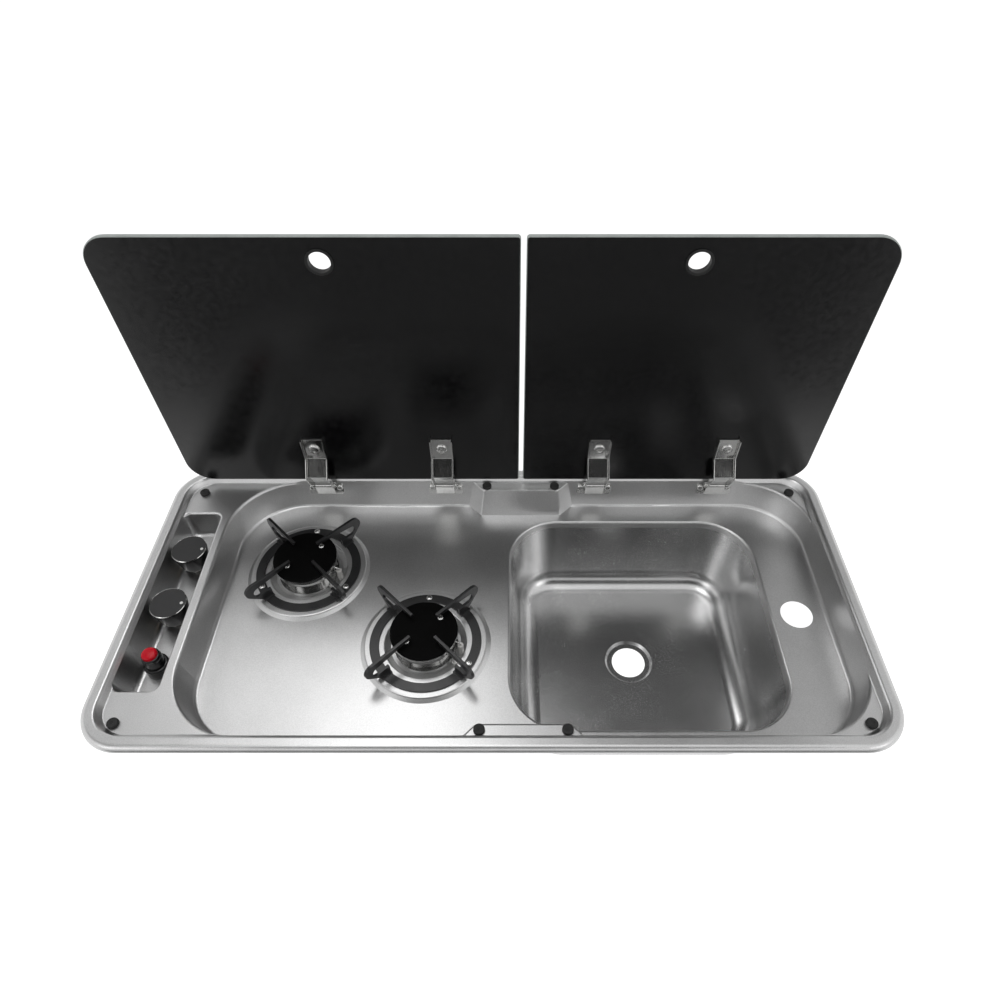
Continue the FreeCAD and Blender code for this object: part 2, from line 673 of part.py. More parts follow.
# Burners: body with flame ports, cap, pan support, spark electrode, flame sensor and injector.
ringScrewR = (RING_OUT + RING_IN) / 2
portTop = capLow - CROWN_RIM_T
portLow = portTop - PORT_H
portR = CROWN_R - PORT_IN
for name, (bx, by) in burners.items():
    capScrews = [polar(bx, by, CAP_SCREW_PITCH_R, CAP_SCREW_TURN + q) for q in (0, 180)]
    ringScrews = [polar(bx, by, ringScrewR, turn) for turn in RING_SCREW_TURNS]
    grip = capLow - CAP_SCREW_GRIP
    capHoles = Part.makeCompound([cyl(x, y, grip, capTop, CAP_SCREW_SHANK) for x, y in capScrews])

    profile = [(0, funnelLow), (FUNNEL_R, funnelLow), (BURNER_HOLE_R - HOLE_PLAY, bodyLow),
               (BURNER_HOLE_R - HOLE_PLAY, dipFloor), (FLANGE_R, dipFloor), (FLANGE_R, dipFloor + FLANGE_T),
               (BURNER_HOLE_R - HOLE_PLAY, dipFloor + FLANGE_T),
               (BURNER_HOLE_R - HOLE_PLAY, capLow - CROWN_H - NECK_H), (NECK_R, capLow - CROWN_H - NECK_H),
               (CROWN_R, capLow - CROWN_H), (CROWN_R, portLow), (portR, portLow), (portR, portTop),
               (CAP_R - CROWN_RIM_IN, portTop), (CAP_R - CROWN_RIM_IN, capLow), (0, capLow)]
    body = turned(bx, by, profile)
    ports = []
    for i in range(PORTS):
        port = box(portR - PORT_DEPTH, CROWN_R, -PORT_W / 2, PORT_W / 2, portLow, portTop)
        port.rotate(V(0, 0, 0), V(0, 0, 1), 360.0 * i / PORTS)
        port.translate(V(bx, by, 0))
        ports.append(port)
    export(body.cut(capHoles).cut(Part.makeCompound(ports)), "burner_body_" + name)

    cap = cyl(bx, by, capLow, capTop, CAP_R)
    cap = cap.makeFillet(CAP_EDGE_R, edgesAt(cap, capTop))
    export(cap.cut(capHoles), "burner_cap_" + name)
    depth = CAP_H + CAP_SCREW_GRIP
    head = (CAP_SCREW_HEAD_R, CAP_SCREW_HEAD_H, CAP_SCREW_SHANK, depth)
    screws = [screw(x, y, capTop, *head) for x, y in capScrews]
    export(Part.makeCompound(screws), "cap_screws_" + name)

    support = cyl(bx, by, plateTop, ringTop, RING_OUT).cut(cyl(bx, by, plateTop, ringTop, RING_IN))
    support = support.fuse([finger(bx, by, turn) for turn in FINGER_TURNS])
    ringHoles = [cyl(x, y, plateTop - CUT_PAST / 2, ringTop, RING_SCREW_SHANK) for x, y in ringScrews]
    export(support.cut(Part.makeCompound(ringHoles)).removeSplitter(), "pan_support_" + name)
    depth = RING_T + RING_SCREW_GRIP
    head = (RING_SCREW_HEAD_R, RING_SCREW_HEAD_H, RING_SCREW_SHANK, depth)
    screws = [screw(x, y, ringTop, *head) for x, y in ringScrews]
    export(Part.makeCompound(screws), "ring_screws_" + name)

    sparkX, sparkY = polar(bx, by, PROBE_PITCH_R, SPARK_TURN)
    wireX, wireY = polar(bx, by, PROBE_PITCH_R - SPARK_REACH, SPARK_TURN)
    sparkTop = capLow - SPARK_BELOW_CAP
    wireZ = capLow - SPARK_WIRE_BELOW_CAP
    spark = cyl(sparkX, sparkY, DECK_Z - PROBE_BELOW, sparkTop, SPARK_R)
    wire = [(sparkX, sparkY, sparkTop - SPARK_WIRE_IN), (sparkX, sparkY, wireZ - SPARK_WIRE_RISE),
            (wireX, wireY, wireZ)]
    export(spark.fuse(pipe(wire, SPARK_WIRE_R, SPARK_WIRE_BEND)), "spark_electrode_" + name)

    probeX, probeY = polar(bx, by, PROBE_PITCH_R, PROBE_TURN)
    probeTop = capLow - PROBE_BELOW_CAP
    nutLow = plateTop + PROBE_NUT_GAP
    probe = cyl(probeX, probeY, DECK_Z - PROBE_BELOW, probeTop, PROBE_R)
    probe = probe.makeChamfer(PROBE_TIP, edgesAt(probe, probeTop))
    probe = probe.fuse(hexagon(probeX, probeY, nutLow, nutLow + PROBE_NUT_H, PROBE_NUT))
    export(probe, "thermocouple_" + name)

    injector = cyl(bx, by, injectorLow, funnelLow, INJECTOR_R)
    injector = injector.fuse(hexagon(bx, by, injectorLow - INJECTOR_HEX_H, injectorLow, INJECTOR_HEX))
    export(injector, "injector_" + name)

    holesInSheet.append(cyl(bx, by, DECK_Z - CUT_PAST, DECK_Z + CUT_PAST, BURNER_HOLE_R))
    holesInSheet.append(cyl(sparkX, sparkY, DECK_Z - CUT_PAST, DECK_Z + CUT_PAST, SPARK_R))
    holesInSheet.append(cyl(probeX, probeY, DECK_Z - CUT_PAST, DECK_Z + CUT_PAST, PROBE_R))
    holesInSheet += ringHoles

# Push-and-turn gas taps under the trough, with their knobs.
outletZ = tapLow + OUTLET_UP
outletX = troughX + TAP_W / 2
knobLow = KNOB_TOP - KNOB_H
collarTop = knobLow - COLLAR_PLAY
bushTop = TROUGH_Z + BUSH_UP
spindleLow = tapLow + TAP_WALL + PUSH + PUSH_SPARE
nuts = []
for name, ky in knobs.items():
    tap = box(troughX - TAP_W / 2, troughX + TAP_W / 2, ky - TAP_L / 2, ky + TAP_L / 2, tapLow, floorLow)
    tap = tap.makeFillet(TAP_EDGE_R, [e for e in tap.Edges if e.BoundBox.ZLength > TAP_H / 2])
    outlet = Part.makeCylinder(OUTLET_R, OUTLET_LEN, V(outletX, ky, outletZ), V(1, 0, 0))
    tap = tap.fuse([cyl(troughX, ky, floorLow, bushTop, BUSH_R), outlet])
    bore = cyl(troughX, ky, tapLow + TAP_WALL, bushTop, SPINDLE_R + SPINDLE_PLAY)
    export(tap.cut(bore), "gas_tap_" + name)
    bush = cyl(troughX, ky, TROUGH_Z - CUT_PAST / 2, bushTop, BUSH_R)
    nuts.append(hexagon(troughX, ky, TROUGH_Z, TROUGH_Z + TAP_NUT_H, TAP_NUT).cut(bush))
    holesInSheet.append(bush)

    bridge = collarTop - COLLAR_T
    collar = cyl(troughX, ky, bridge - COLLAR_SKIRT, collarTop, COLLAR_R)
    collar = collar.cut(cyl(troughX, ky, bridge - COLLAR_SKIRT, bridge, BUSH_R + COLLAR_PLAY))
    export(collar.cut(cyl(troughX, ky, bridge, collarTop, SPINDLE_R + SPINDLE_PLAY)), "tap_collar_" + name)

    spindle = cyl(troughX, ky, spindleLow, knobLow + SPINDLE_IN_KNOB, SPINDLE_R)
    export(spindle, "tap_spindle_" + name)
    hollowR = COLLAR_R + KNOB_HOLLOW
    skirtLow = knobLow - KNOB_SKIRT
    profile = [(0, knobLow), (hollowR, knobLow), (hollowR, skirtLow), (KNOB_FOOT_R, skirtLow),
               (KNOB_R, KNOB_TOP - KNOB_BAND), (KNOB_R, KNOB_TOP), (0, KNOB_TOP)]
    knob = turned(troughX, ky, profile)
    knob = knob.makeFillet(KNOB_BEVEL, edgesAt(knob, KNOB_TOP))
    dot = cyl(troughX + KNOB_R - KNOB_DOT_IN, ky, KNOB_TOP - KNOB_DOT_T, KNOB_TOP, KNOB_DOT_R)
    export(knob.cut(spindle).cut(dot), "knob_" + name)
    export(dot, "knob_dot_" + name)

    bx, by = burners[name]
    nutZ = injectorLow - INJECTOR_HEX_H / 2
    route = [(outletX + OUTLET_LEN, ky, outletZ), (outletX + OUTLET_LEN + PIPE_OUT, ky, outletZ),
             (outletX + OUTLET_LEN + PIPE_OUT + PIPE_CROSS, by, nutZ), (bx - INJECTOR_HEX / 2, by, nutZ)]
    export(pipe(route, PIPE_R, PIPE_BEND), "gas_pipe_" + name)
export(Part.makeCompound(nuts), "tap_nuts")

railZ = tapLow - RAIL_R
inletY = knobs["rear"] + INLET_FROM_KNOB
rail = ycyl(troughX, knobs["front"] - RAIL_END, inletY + INLET_R + INLET_HEX_DOWN, railZ, RAIL_R)
inletHex = hexagon(troughX, inletY, railZ - INLET_HEX_DOWN - INLET_HEX_H, railZ - INLET_HEX_DOWN, INLET_HEX)
export(rail.fuse([inletHex, cyl(troughX, inletY, railZ - INLET_LEN, railZ, INLET_R)]), "gas_rail")

# Igniter: a threaded body through the trough, its nut, and a red button.
igniterTop = KNOB_TOP - BUTTON_STAND
igniter = cyl(troughX, buttonY, floorLow - IGNITER_BELOW, igniterTop, IGNITER_R)
igniter = igniter.fuse(cyl(troughX, buttonY, floorLow - IGNITER_FLANGE_T, floorLow, IGNITER_FLANGE_R))
igniter = igniter.cut(cyl(troughX, buttonY, igniterTop - BUTTON_WELL, igniterTop, BUTTON_R + BUTTON_PLAY))
export(igniter, "igniter_body")
neck = cyl(troughX, buttonY, TROUGH_Z - CUT_PAST / 2, TROUGH_Z + IGNITER_NUT_H, IGNITER_R)
nut = cyl(troughX, buttonY, TROUGH_Z, TROUGH_Z + IGNITER_NUT_H, IGNITER_NUT_R)
nut = nut.makeFillet(IGNITER_NUT_EDGE, edgesAt(nut, TROUGH_Z + IGNITER_NUT_H))
export(nut.cut(neck), "igniter_nut")
button = cyl(troughX, buttonY, igniterTop - BUTTON_WELL + BUTTON_PUSH + PUSH_SPARE, KNOB_TOP, BUTTON_R)
export(button.makeFillet(BUTTON_EDGE_R, edgesAt(button, KNOB_TOP)), "igniter_button")
holesInSheet.append(neck)

# Hinge brackets, drawn on an upright wall and leaned on to the rear wall of the well.
wallTilt = math.degrees(math.atan2(WELL_DRAFT_REAR, wellDepth))
footZ = LAND_Z - FOOT_BELOW_LAND
footY = wellRear - FOOT_BELOW_LAND * WELL_DRAFT_REAR / wellDepth
strapHalf = STRAP_W / 2
flangeIn = strapHalf - FLANGE_WALL
rollHalf = flangeIn - KNUCKLE_GAP
leafLow = footZ - FOOT_DOWN
leafLowY = footY - FOOT_DOWN * WELL_DRAFT_REAR / wellDepth - FOOT_T


def onWall(shape, x):
    shape = shape.copy()
    shape.rotate(V(0, 0, 0), V(1, 0, 0), -wallTilt)
    shape.translate(V(x, footY, footZ))
    return shape


pins = []
wallScrews = []
for n, (side, x) in straps.items():
    foot = box(-FOOT_HALF, FOOT_HALF, -FOOT_T, 0, -FOOT_DOWN, FOOT_UP)
    foot = foot.makeFillet(FOOT_R, crossEdges(foot, -FOOT_HALF) + crossEdges(foot, FOOT_HALF))
    screwHoles = [ycyl(q * FOOT_SCREW_X, -CUT_PAST / 2, CUT_PAST / 2, 0, FOOT_SCREW_SHANK) for q in (-1, 1)]
    screwHoles = Part.makeCompound(screwHoles)
    bracket = onWall(foot.cut(screwHoles), x)
    holesInSheet.append(onWall(screwHoles, x))
    leaf = [(pinY - KNUCKLE_R, pinZ), (leafLowY, leafLow), (leafLowY + FOOT_T / 2, leafLow),
            (pinY - KNUCKLE_R + LEAF_T, pinZ)]
    bracket = bracket.fuse([plate([V(x - rollHalf, y, z) for y, z in leaf], 2 * rollHalf, V(1, 0, 0)),
                            xcyl(x - rollHalf, x + rollHalf, pinY, pinZ, KNUCKLE_R)])
    shaft = xcyl(x - strapHalf, x + strapHalf, pinY, pinZ, PIN_R)
    export(bracket.cut(shaft).removeSplitter(), "hinge_bracket_" + n)
    ends = (x - strapHalf - PIN_HEAD_T, x + strapHalf)
    heads = [xcyl(end, end + PIN_HEAD_T, pinY, pinZ, PIN_HEAD_R) for end in ends]
    pins.append(shaft.fuse(heads))
    for q in (-1, 1):
        head = screw(0, 0, 0, FOOT_SCREW_HEAD_R, FOOT_SCREW_HEAD_H, FOOT_SCREW_SHANK, FOOT_SCREW_LEN)
        head.rotate(V(0, 0, 0), V(1, 0, 0), 90)
        head.translate(V(q * FOOT_SCREW_X, -FOOT_T, 0))
        wallScrews.append(onWall(head, x))
export(Part.makeCompound(pins), "hinge_pins")
export(Part.makeCompound(wallScrews), "bracket_screws")


# Lids, drawn flat with v up the pane and w towards the user, then stood on their foot.
def stand(shape):
    shape = shape.copy()
    shape.rotate(V(0, 0, 0), V(1, 0, 0), 90.0 + LID_TILT)
    shape.translate(V(0, lidFootY, lidFootZ))
    return shape


def onPane(v, w):
    a = math.radians(LID_TILT)
    return lidFootY - v * math.sin(a) - w * math.cos(a), lidFootZ + v * math.cos(a) - w * math.sin(a)


# A line of the side view moved sideways by a distance, with mitred corners.
def moved(points, distance):
    out = []
    for i, (y, z) in enumerate(points):
        normals = []
        for p, q in zip(points[max(i - 1, 0):i + 1], points[max(i - 1, 0) + 1:i + 2]):
            length = math.hypot(q[0] - p[0], q[1] - p[1])
            normals.append(((p[1] - q[1]) / length, (q[0] - p[0]) / length))
        ny = sum(normal[0] for normal in normals) / len(normals)
        nz = sum(normal[1] for normal in normals) / len(normals)
        k = distance / (ny * ny + nz * nz)
        out.append((y + ny * k, z + nz * k))
    return out


# A cranked strap: a folded web between flanges, whose ears turn on the pin beside the roll of the bracket.
def strap(x):
    bendY = -BEND_FORWARD + STRAP_T
    k = FLANGE_START / math.hypot(bendY, BEND_UP)
    back = [(pinY + k * bendY, pinZ + k * BEND_UP), (pinY + bendY, pinZ + BEND_UP)]
    back += [onPane(FOLD_V, 0), onPane(STRAP_V, 0)]
    band = back + moved(back, STRAP_T)[::-1]
    side = back + moved(back, FLANGE_H)[::-1]
    body = plate([V(x - strapHalf, y, z) for y, z in band], STRAP_W, V(1, 0, 0))
    for x0 in (x - strapHalf, x + flangeIn):
        flange = plate([V(x0, y, z) for y, z in side], FLANGE_WALL, V(1, 0, 0))
        body = body.fuse([flange, xcyl(x0, x0 + FLANGE_WALL, pinY, pinZ, EAR_R)])
    body = body.cut(xcyl(x - flangeIn, x + flangeIn, pinY, pinZ, WEB_FROM_PIN))
    body = body.cut(xcyl(x - STRAP_W, x + STRAP_W, pinY, pinZ, PIN_R + PIN_PLAY))
    body = body.cut(stand(cyl(x, SCREW_V, 0, STRAP_T, LID_SCREW_SHANK)))
    return body.removeSplitter()


for side, (x0, x1) in lids.items():
    hx = holes[side]
    hv = lidLen - HOLE_DOWN
    names = [n for n in straps if straps[n][0] == side]
    middle = (x0 + x1) / 2
    inner = (middle, x1, 0, lidLen) if side == "left" else (x0, middle, 0, lidLen)
    pane = prism((x0, x1, 0, lidLen), LID_R, 0, -GLASS_T, 0)
    pane = pane.fuse(prism(inner, LID_SPLIT_R, 0, -GLASS_T, 0)).removeSplitter()
    pane = pane.makeChamfer(GLASS_EDGE, edgesAt(pane, 0) + edgesAt(pane, -GLASS_T))
    cuts = [cyl(hx, hv, -GLASS_T, 0, HOLE_R + GROMMET_WALL)]
    cuts += [cyl(straps[n][1], SCREW_V, -GLASS_T, 0, LID_SCREW_SHANK) for n in names]
    export(stand(pane.cut(Part.makeCompound(cuts))), "lid_glass_" + side)

    low = -GLASS_T - GROMMET_PROUD
    flangeR = HOLE_R + GROMMET_WALL + GROMMET_LIP
    profile = [(HOLE_R, low), (flangeR, low), (flangeR, -GLASS_T), (HOLE_R + GROMMET_WALL, -GLASS_T),
               (HOLE_R + GROMMET_WALL, 0), (flangeR, 0), (flangeR, GROMMET_PROUD), (HOLE_R, GROMMET_PROUD)]
    export(stand(turned(hx, hv, profile)), "lid_grommet_" + side)

    screws = []
    capNuts = []
    for n in names:
        x = straps[n][1]
        export(strap(x), "hinge_strap_" + n)
        depth = STRAP_T + GLASS_T + LID_SCREW_IN_NUT
        lidScrew = screw(x, SCREW_V, STRAP_T, LID_SCREW_HEAD_R, LID_SCREW_HEAD_H, LID_SCREW_SHANK, depth)
        screws.append(stand(lidScrew))
        nut = cyl(x, SCREW_V, -GLASS_T - CAP_NUT_H, -GLASS_T, CAP_NUT_R)
        nut = nut.makeFillet(CAP_NUT_EDGE, edgesAt(nut, -GLASS_T - CAP_NUT_H))
        shank = cyl(x, SCREW_V, -GLASS_T - LID_SCREW_IN_NUT, -GLASS_T, LID_SCREW_SHANK)
        capNuts.append(stand(nut.cut(shank)))
    export(Part.makeCompound(screws), "strap_screws_" + side)
    export(Part.makeCompound(capNuts), "cap_nuts_" + side)

export(pressing.cut(Part.makeCompound(holesInSheet)), "worktop_pressing")
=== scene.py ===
import json
import math

import bmesh
import bpy
from mathutils import Matrix, Vector

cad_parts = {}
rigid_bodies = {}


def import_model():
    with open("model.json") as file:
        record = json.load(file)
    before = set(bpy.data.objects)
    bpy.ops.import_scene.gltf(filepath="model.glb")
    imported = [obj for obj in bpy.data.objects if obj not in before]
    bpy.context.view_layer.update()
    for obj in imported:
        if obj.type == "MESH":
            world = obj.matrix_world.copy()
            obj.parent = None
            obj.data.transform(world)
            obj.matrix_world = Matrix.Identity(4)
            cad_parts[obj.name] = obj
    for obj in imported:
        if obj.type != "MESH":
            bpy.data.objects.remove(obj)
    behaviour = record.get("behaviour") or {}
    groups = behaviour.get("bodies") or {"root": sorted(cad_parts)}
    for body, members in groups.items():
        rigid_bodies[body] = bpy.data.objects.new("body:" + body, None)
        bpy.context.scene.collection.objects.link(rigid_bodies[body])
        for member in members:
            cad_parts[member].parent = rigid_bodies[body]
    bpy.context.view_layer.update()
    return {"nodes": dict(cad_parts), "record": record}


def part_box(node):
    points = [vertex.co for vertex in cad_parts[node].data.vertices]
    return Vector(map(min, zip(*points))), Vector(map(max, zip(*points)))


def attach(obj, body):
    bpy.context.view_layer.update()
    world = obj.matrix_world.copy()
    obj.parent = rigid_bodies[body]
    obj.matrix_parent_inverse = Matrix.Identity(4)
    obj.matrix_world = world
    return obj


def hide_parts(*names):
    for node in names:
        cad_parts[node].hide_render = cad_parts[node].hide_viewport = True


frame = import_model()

nodes = frame["nodes"]
record = frame["record"]
bodyFor = {n: body for body, names in record["behaviour"]["bodies"].items() for n in names}
mm = 0.001
mmInMetre = 1000
print("frame loaded:", len(nodes), "nodes")


# colours are written as sRGB hex and handed to the shaders as linear values
def hexLinear(code):
    parts = [int(code[i:i + 2], 16) / 255 for i in (1, 3, 5)]
    return [p / 12.92 if p <= 0.04045 else ((p + 0.055) / 1.055) ** 2.4 for p in parts] + [1.0]


# adds one node: settings are its own options or input values, links are sockets that feed its inputs
def addNode(tree, kind, settings=None, links=None):
    node = tree.nodes.new("ShaderNode" + kind)
    for key, value in (settings or {}).items():
        if isinstance(key, str) and hasattr(node, key):
            setattr(node, key, value)
        else:
            node.inputs[key].default_value = value
    for key, socket in (links or {}).items():
        tree.links.new(socket, node.inputs[key])
    return node


def startMaterial(name, settings):
    material = bpy.data.materials.new(name)
    material.use_nodes = True
    tree = material.node_tree
    shader = tree.nodes["Principled BSDF"]
    for key, value in settings.items():
        shader.inputs[key].default_value = hexLinear(value) if isinstance(value, str) else value
    return material, tree, shader


# what all finishes share: the look of the noise, its mean, and how far from it the two values are reached
noise = {"fineDetail": 3.0, "fineRough": 0.6, "wearDetail": 2.0, "mean": 0.5, "roughSpan": 0.25,
         "toneSpan": 0.22, "share": 0.5, "strength": 0.5}


# a surface with grain: colour and roughness wander between two values, and fine bumps catch the light
# size is the grain in mm, stretch lengthens it along an axis, depth is the height of the bumps in mm
# smudge is the size of the broad wear in mm, and share is how much that wear counts
def finish(name, settings, grain):
    material, tree, shader = startMaterial(name, settings)
    share = grain.get("share", noise["share"])
    middle = noise["mean"] * (1 + share)
    low, high = grain["rough"]
    coords = addNode(tree, "TexCoord")
    scale = [mmInMetre / (grain["size"] * s) for s in grain.get("stretch", (1, 1, 1))]
    mapping = addNode(tree, "Mapping", {"Scale": scale}, {"Vector": coords.outputs["Object"]})
    fine = addNode(tree, "TexNoise",
                   {"Scale": 1.0, "Detail": noise["fineDetail"], "Roughness": noise["fineRough"]},
                   {"Vector": mapping.outputs["Vector"]})
    broad = addNode(tree, "TexNoise",
                    {"Scale": mmInMetre / grain["smudge"], "Detail": noise["wearDetail"]},
                    {"Vector": coords.outputs["Object"]})
    mixed = addNode(tree, "Math", {"operation": "MULTIPLY_ADD", 1: share},
                    {0: broad.outputs["Fac"], 2: fine.outputs["Fac"]})
    rough = addNode(tree, "MapRange",
                    {"From Min": middle - noise["roughSpan"], "From Max": middle + noise["roughSpan"],
                     "To Min": low, "To Max": high},
                    {"Value": mixed.outputs["Value"]})
    tone = addNode(tree, "ValToRGB", None, {"Fac": mixed.outputs["Value"]})
    places = (middle - noise["toneSpan"], middle + noise["toneSpan"])
    for stop, place, code in zip(tone.color_ramp.elements, places, grain["tones"]):
        stop.position = place
        stop.color = hexLinear(code)
    bump = addNode(tree, "Bump",
                   {"Strength": grain.get("strength", noise["strength"]), "Distance": grain["depth"] * mm},
                   {"Height": fine.outputs["Fac"]})
    tree.links.new(rough.outputs["Result"], shader.inputs["Roughness"])
    tree.links.new(tone.outputs["Color"], shader.inputs["Base Color"])
    tree.links.new(bump.outputs["Normal"], shader.inputs["Normal"])
    return material


# deep drawn 304 stainless sheet, bead blasted satin: soft reflections with a fine sparkle
# the real grit is about 0.2 mm, drawn coarser so that it shows
satinSteel = finish("stainless 304 satin sheet", {"Metallic": 1.0},
                    {"size": 0.9, "smudge": 60.0, "share": 0.4, "rough": (0.32, 0.37), "depth": 0.005,
                     "tones": ("#c0c0c0", "#d7d7d7")})
# the bowl is polished more after drawing, so its reflections are sharper
bowlSteel = finish("stainless 304 drawn bowl", {"Metallic": 1.0},
                   {"size": 0.9, "smudge": 60.0, "share": 0.4, "rough": (0.23, 0.28), "depth": 0.003,
                    "tones": ("#bababa", "#d2d2d2")})
# nickel plated hinge steel, polished: sharp reflections with faint lengthwise polishing lines
polishedSteel = finish("nickel plated steel polished", {"Metallic": 1.0},
                       {"size": 0.5, "stretch": (1, 18, 18), "smudge": 12.0, "rough": (0.08, 0.16),
                        "depth": 0.003, "tones": ("#c4c4c3", "#d6d6d4")})
# zinc plated screws: bright with a slight haze
brightZinc = finish("zinc plated steel bright", {"Metallic": 1.0},
                    {"size": 0.6, "smudge": 4.0, "rough": (0.14, 0.30), "depth": 0.01,
                     "tones": ("#c4c4c3", "#e0e0de")})
# tempered glass with a black print on its back: deep black, and a slight orange peel softens what it mirrors
blackGlass = finish("tempered glass back printed black", {"IOR": 1.52, "Specular IOR Level": 0.5},
                    {"size": 7.0, "smudge": 110.0, "rough": (0.17, 0.27), "depth": 0.004, "strength": 0.2,
                     "tones": ("#050506", "#09090a")})
# ground edge of the same glass: pale and slightly green
groundGlass = finish("tempered glass ground edge", {"IOR": 1.52},
                     {"size": 0.8, "smudge": 20.0, "rough": (0.28, 0.45), "depth": 0.02,
                      "tones": ("#8f9693", "#b4bab7")})
# enamelled burner cap: matt black with a fine grit
mattEnamel = finish("vitreous enamel matt black", {"IOR": 1.5, "Specular IOR Level": 0.06},
                    {"size": 0.7, "smudge": 9.0, "rough": (0.50, 0.68), "depth": 0.03,
                     "tones": ("#020202", "#040404")})
# enamelled pan support: satin dark grey, a little paler where pans have rubbed it
satinEnamel = finish("vitreous enamel satin black", {"IOR": 1.55},
                     {"size": 0.9, "smudge": 14.0, "rough": (0.26, 0.42), "depth": 0.02,
                      "tones": ("#161617", "#242425")})
# spark eroded ABS: black with a dull grain
grainPlastic = finish("ABS black spark eroded", {"IOR": 1.53},
                      {"size": 0.7, "smudge": 8.0, "rough": (0.42, 0.60), "depth": 0.06, "strength": 0.7,
                       "tones": ("#121213", "#232324")})
# polished ABS of the igniter and the sides of the knobs
glossPlastic = finish("ABS black polished", {"IOR": 1.53},
                      {"size": 1.6, "smudge": 12.0, "rough": (0.13, 0.26), "depth": 0.006,
                       "tones": ("#0b0b0c", "#141415")})
# pigmented gloss plastic of the button
redPlastic = finish("polycarbonate red gloss", {"IOR": 1.58, "Specular IOR Level": 0.22},
                    {"size": 2.0, "smudge": 6.0, "rough": (0.14, 0.26), "depth": 0.008,
                     "tones": ("#c00018", "#d30b24")})
# cast and turned aluminium: fine rings left by the tool
turnedAluminium = finish("aluminium cast and turned", {"Metallic": 1.0},
                         {"size": 0.5, "stretch": (9, 9, 1), "smudge": 30.0, "share": 0.2,
                          "rough": (0.12, 0.18), "depth": 0.003, "tones": ("#bebebd", "#cccccb")})
# brass fittings, turned and slightly dulled
turnedBrass = finish("brass turned", {"Metallic": 1.0},
                     {"size": 0.6, "smudge": 7.0, "rough": (0.24, 0.44), "depth": 0.015,
                      "tones": ("#a98b4d", "#c4a767")})
# brass nuts under the knobs, nickel plated
nickelBrass = finish("brass nickel plated", {"Metallic": 1.0},
                     {"size": 0.6, "smudge": 7.0, "rough": (0.18, 0.34), "depth": 0.01,
                      "tones": ("#b3b2ae", "#cac9c5")})
# zinc plated gas pipe, passivated dull
zincPipe = finish("zinc plated steel pipe", {"Metallic": 1.0},
                  {"size": 0.9, "smudge": 16.0, "rough": (0.30, 0.50), "depth": 0.02,
                   "tones": ("#9b9d9e", "#b6b8b8")})
# moulded rubber: dull with a dusty haze
mouldedRubber = finish("EPDM rubber moulded", {"IOR": 1.5},
                       {"size": 0.7, "smudge": 6.0, "rough": (0.50, 0.75), "depth": 0.04,
                        "tones": ("#0b0b0b", "#181818")})
# foam seal strip: open cells and no shine
foamSeal = finish("EPDM foam strip", {"IOR": 1.45},
                  {"size": 1.0, "smudge": 9.0, "rough": (0.75, 0.95), "depth": 0.25, "strength": 0.8,
                   "tones": ("#101010", "#1d1d1d")})
# glazed alumina insulator
glazedCeramic = finish("alumina glazed", {"IOR": 1.6},
                       {"size": 1.2, "smudge": 5.0, "rough": (0.14, 0.28), "depth": 0.01,
                        "tones": ("#b9b8b5", "#cfcecb")})
# pad printed paint
whitePaint = finish("pad printed white paint", {"IOR": 1.5},
                    {"size": 0.4, "smudge": 2.0, "rough": (0.35, 0.50), "depth": 0.01,
                     "tones": ("#dfdfdc", "#f2f2f0")})
print("materials ready:", len(bpy.data.materials))

# finish by the start of a node's name
dress = {
    "worktop_pressing": satinSteel, "sink_bowl": bowlSteel, "rim_seal": foamSeal,
    "lid_buffers": mouldedRubber, "lid_grommet": mouldedRubber, "lid_glass": blackGlass,
    "burner_body": turnedAluminium, "burner_cap": mattEnamel, "pan_support": satinEnamel,
    "cap_screws": brightZinc, "ring_screws": brightZinc, "bracket_screws": brightZinc,
    "strap_screws": brightZinc, "tap_spindle": brightZinc, "hinge_pins": brightZinc,
    "thermocouple": brightZinc, "hinge_bracket": polishedSteel, "hinge_strap": polishedSteel,
    "spark_electrode": glazedCeramic, "injector": turnedBrass, "gas_tap": turnedBrass,
    "tap_nuts": nickelBrass, "tap_collar": nickelBrass, "gas_rail": zincPipe, "gas_pipe": zincPipe,
    "knob_rear": glossPlastic, "knob_front": glossPlastic, "knob_dot": whitePaint,
    "igniter_body": glossPlastic, "igniter_nut": glossPlastic, "igniter_button": redPlastic,
    "cap_nuts": grainPlastic}


def finishFor(node):
    return dress[max((key for key in dress if node.startswith(key)), key=len)]


for name, solid in nodes.items():
    solid.material_slots[0].material = finishFor(name)
print("CAD nodes dressed")

# modelling tolerances: gaps in mm, flat in degrees, facing as the least part of a normal along an axis
tolerance = {"weld": 0.005, "merge": 0.002, "sliver": 0.01, "near": 0.02, "flat": 0.6, "facing": 0.9}
# angles in degrees up to which faces shade as one: turned forms, and the facets of a CAD solid
shadeAngle = {"turned": 34, "facets": 30}
# how the edges of a piece are broken, with the angle in degrees
bevel = {"segments": 2, "angle": 38}


def nodesLike(starts):
    return [n for n in nodes if n.startswith(tuple(starts))]


def middleOf(low, high):
    return (low[0] + high[0]) / 2, (low[1] + high[1]) / 2


def deselect():
    bpy.ops.object.select_all(action="DESELECT")


# makes one piece the only one that is selected, and the active one
def only(piece):
    deselect()
    piece.select_set(True)
    bpy.context.view_layer.objects.active = piece


# opens one piece for modelling, with nothing selected
def edit(piece):
    only(piece)
    bpy.ops.object.mode_set(mode="EDIT")
    bpy.ops.mesh.select_all(action="DESELECT")


def leave():
    bpy.ops.object.mode_set(mode="OBJECT")


